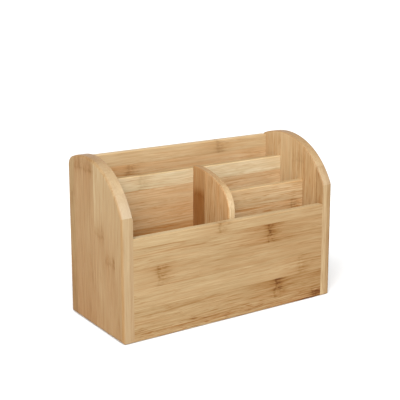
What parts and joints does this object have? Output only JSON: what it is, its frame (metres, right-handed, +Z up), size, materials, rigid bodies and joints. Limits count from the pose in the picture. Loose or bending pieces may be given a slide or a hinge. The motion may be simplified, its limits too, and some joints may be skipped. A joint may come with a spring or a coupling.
{
  "type": "open desk organizer",
  "caption": "Open-topped bamboo desk organizer: crowned side panels, stepped rows of boards, a letter slot at the back and pen bays in front.",
  "frame": {"origin": "on the underside, in the middle of the width and of the depth", "axes": "+X to the right along the width, +Y from the front panel to the back panel, +Z up"},
  "size_m": [0.252, 0.107, 0.167],
  "materials": {
    "side_bamboo": "edge-laminated bamboo, upright grain, clear satin lacquer",
    "panel_bamboo": "edge-laminated bamboo, level grain, clear satin lacquer",
    "divider_bamboo": "edge-laminated bamboo, clear satin lacquer",
    "dowel_wood": "turned hardwood, raw"
  },
  "bodies": {
    "root": {"left_side_panel": "side_bamboo", "right_side_panel": "side_bamboo", "front_panel": "panel_bamboo", "back_panel": "panel_bamboo", "base_panel": "panel_bamboo", "middle_divider": "divider_bamboo", "centre_divider": "divider_bamboo", "short_divider": "divider_bamboo", "front_dowels": "dowel_wood", "back_dowels": "dowel_wood", "base_dowels": "dowel_wood"}
  },
  "joints": []
}
